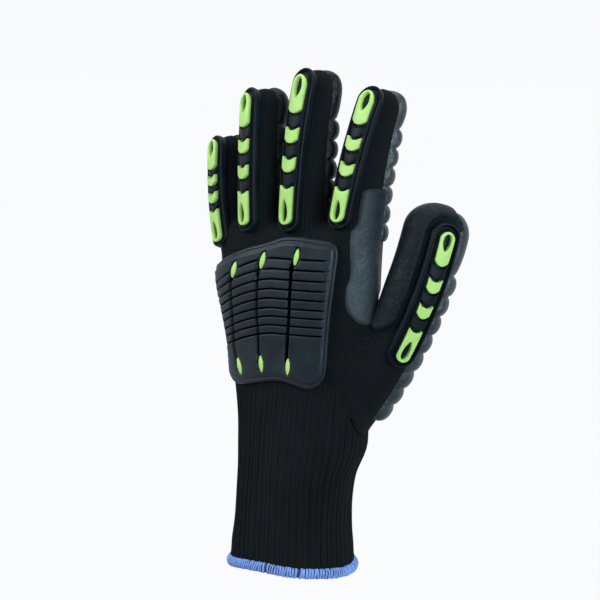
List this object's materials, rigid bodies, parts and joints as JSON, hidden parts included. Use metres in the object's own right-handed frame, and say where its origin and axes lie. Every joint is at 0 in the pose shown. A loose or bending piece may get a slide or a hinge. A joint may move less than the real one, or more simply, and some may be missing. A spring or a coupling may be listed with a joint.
{
  "type": "anti vibration glove",
  "caption": "Knitted work glove for the left hand, with moulded rubber guards on the back of the hand and fingers and a foam coating with raised pads on the palm.",
  "frame": {"origin": "the centre of the wrist opening, level with the lower edge of the hem", "axes": "+Z from the wrist opening towards the fingertips, -Y out of the back of the hand, +X towards the thumb"},
  "size_m": [0.1492, 0.0594, 0.2621],
  "materials": {
    "knit": "matte knitted",
    "hem_thread": "matte overlocked thread",
    "guard_rubber": "satin moulded",
    "insert_rubber": "satin moulded",
    "foam_coating": "matte foamed",
    "patch_foam": "satin foamed"
  },
  "bodies": {
    "root": {"cuff_knit": "knit", "hem_binding": "hem_thread", "hand_knit": "knit", "little_knit": "knit", "ring_knit": "knit", "middle_knit": "knit", "index_knit": "knit", "thumb_knit": "knit", "little_guard": "guard_rubber", "ring_guard": "guard_rubber", "middle_guard": "guard_rubber", "index_guard": "guard_rubber", "thumb_guard": "guard_rubber", "little_toe_insert": "insert_rubber", "little_upper_insert": "insert_rubber", "little_lower_insert": "insert_rubber", "little_heel_insert": "insert_rubber", "ring_toe_insert": "insert_rubber", "ring_upper_insert": "insert_rubber", "ring_lower_insert": "insert_rubber", "ring_heel_insert": "insert_rubber", "middle_toe_insert": "insert_rubber", "middle_upper_insert": "insert_rubber", "middle_lower_insert": "insert_rubber", "middle_heel_insert": "insert_rubber", "index_toe_insert": "insert_rubber", "index_upper_insert": "insert_rubber", "index_lower_insert": "insert_rubber", "index_heel_insert": "insert_rubber", "thumb_toe_insert": "insert_rubber", "thumb_upper_insert": "insert_rubber", "thumb_lower_insert": "insert_rubber", "thumb_heel_insert": "insert_rubber", "knuckle_guard": "guard_rubber", "upper_lens_1": "insert_rubber", "upper_lens_2": "insert_rubber", "upper_lens_3": "insert_rubber", "lower_lens_1": "insert_rubber", "lower_lens_2": "insert_rubber", "lower_lens_3": "insert_rubber", "palm_coating": "foam_coating", "little_pad": "foam_coating", "ring_pad": "foam_coating", "middle_pad": "foam_coating", "index_pad": "foam_coating", "thumb_pad": "foam_coating", "web_patch": "patch_foam"}
  },
  "joints": []
}
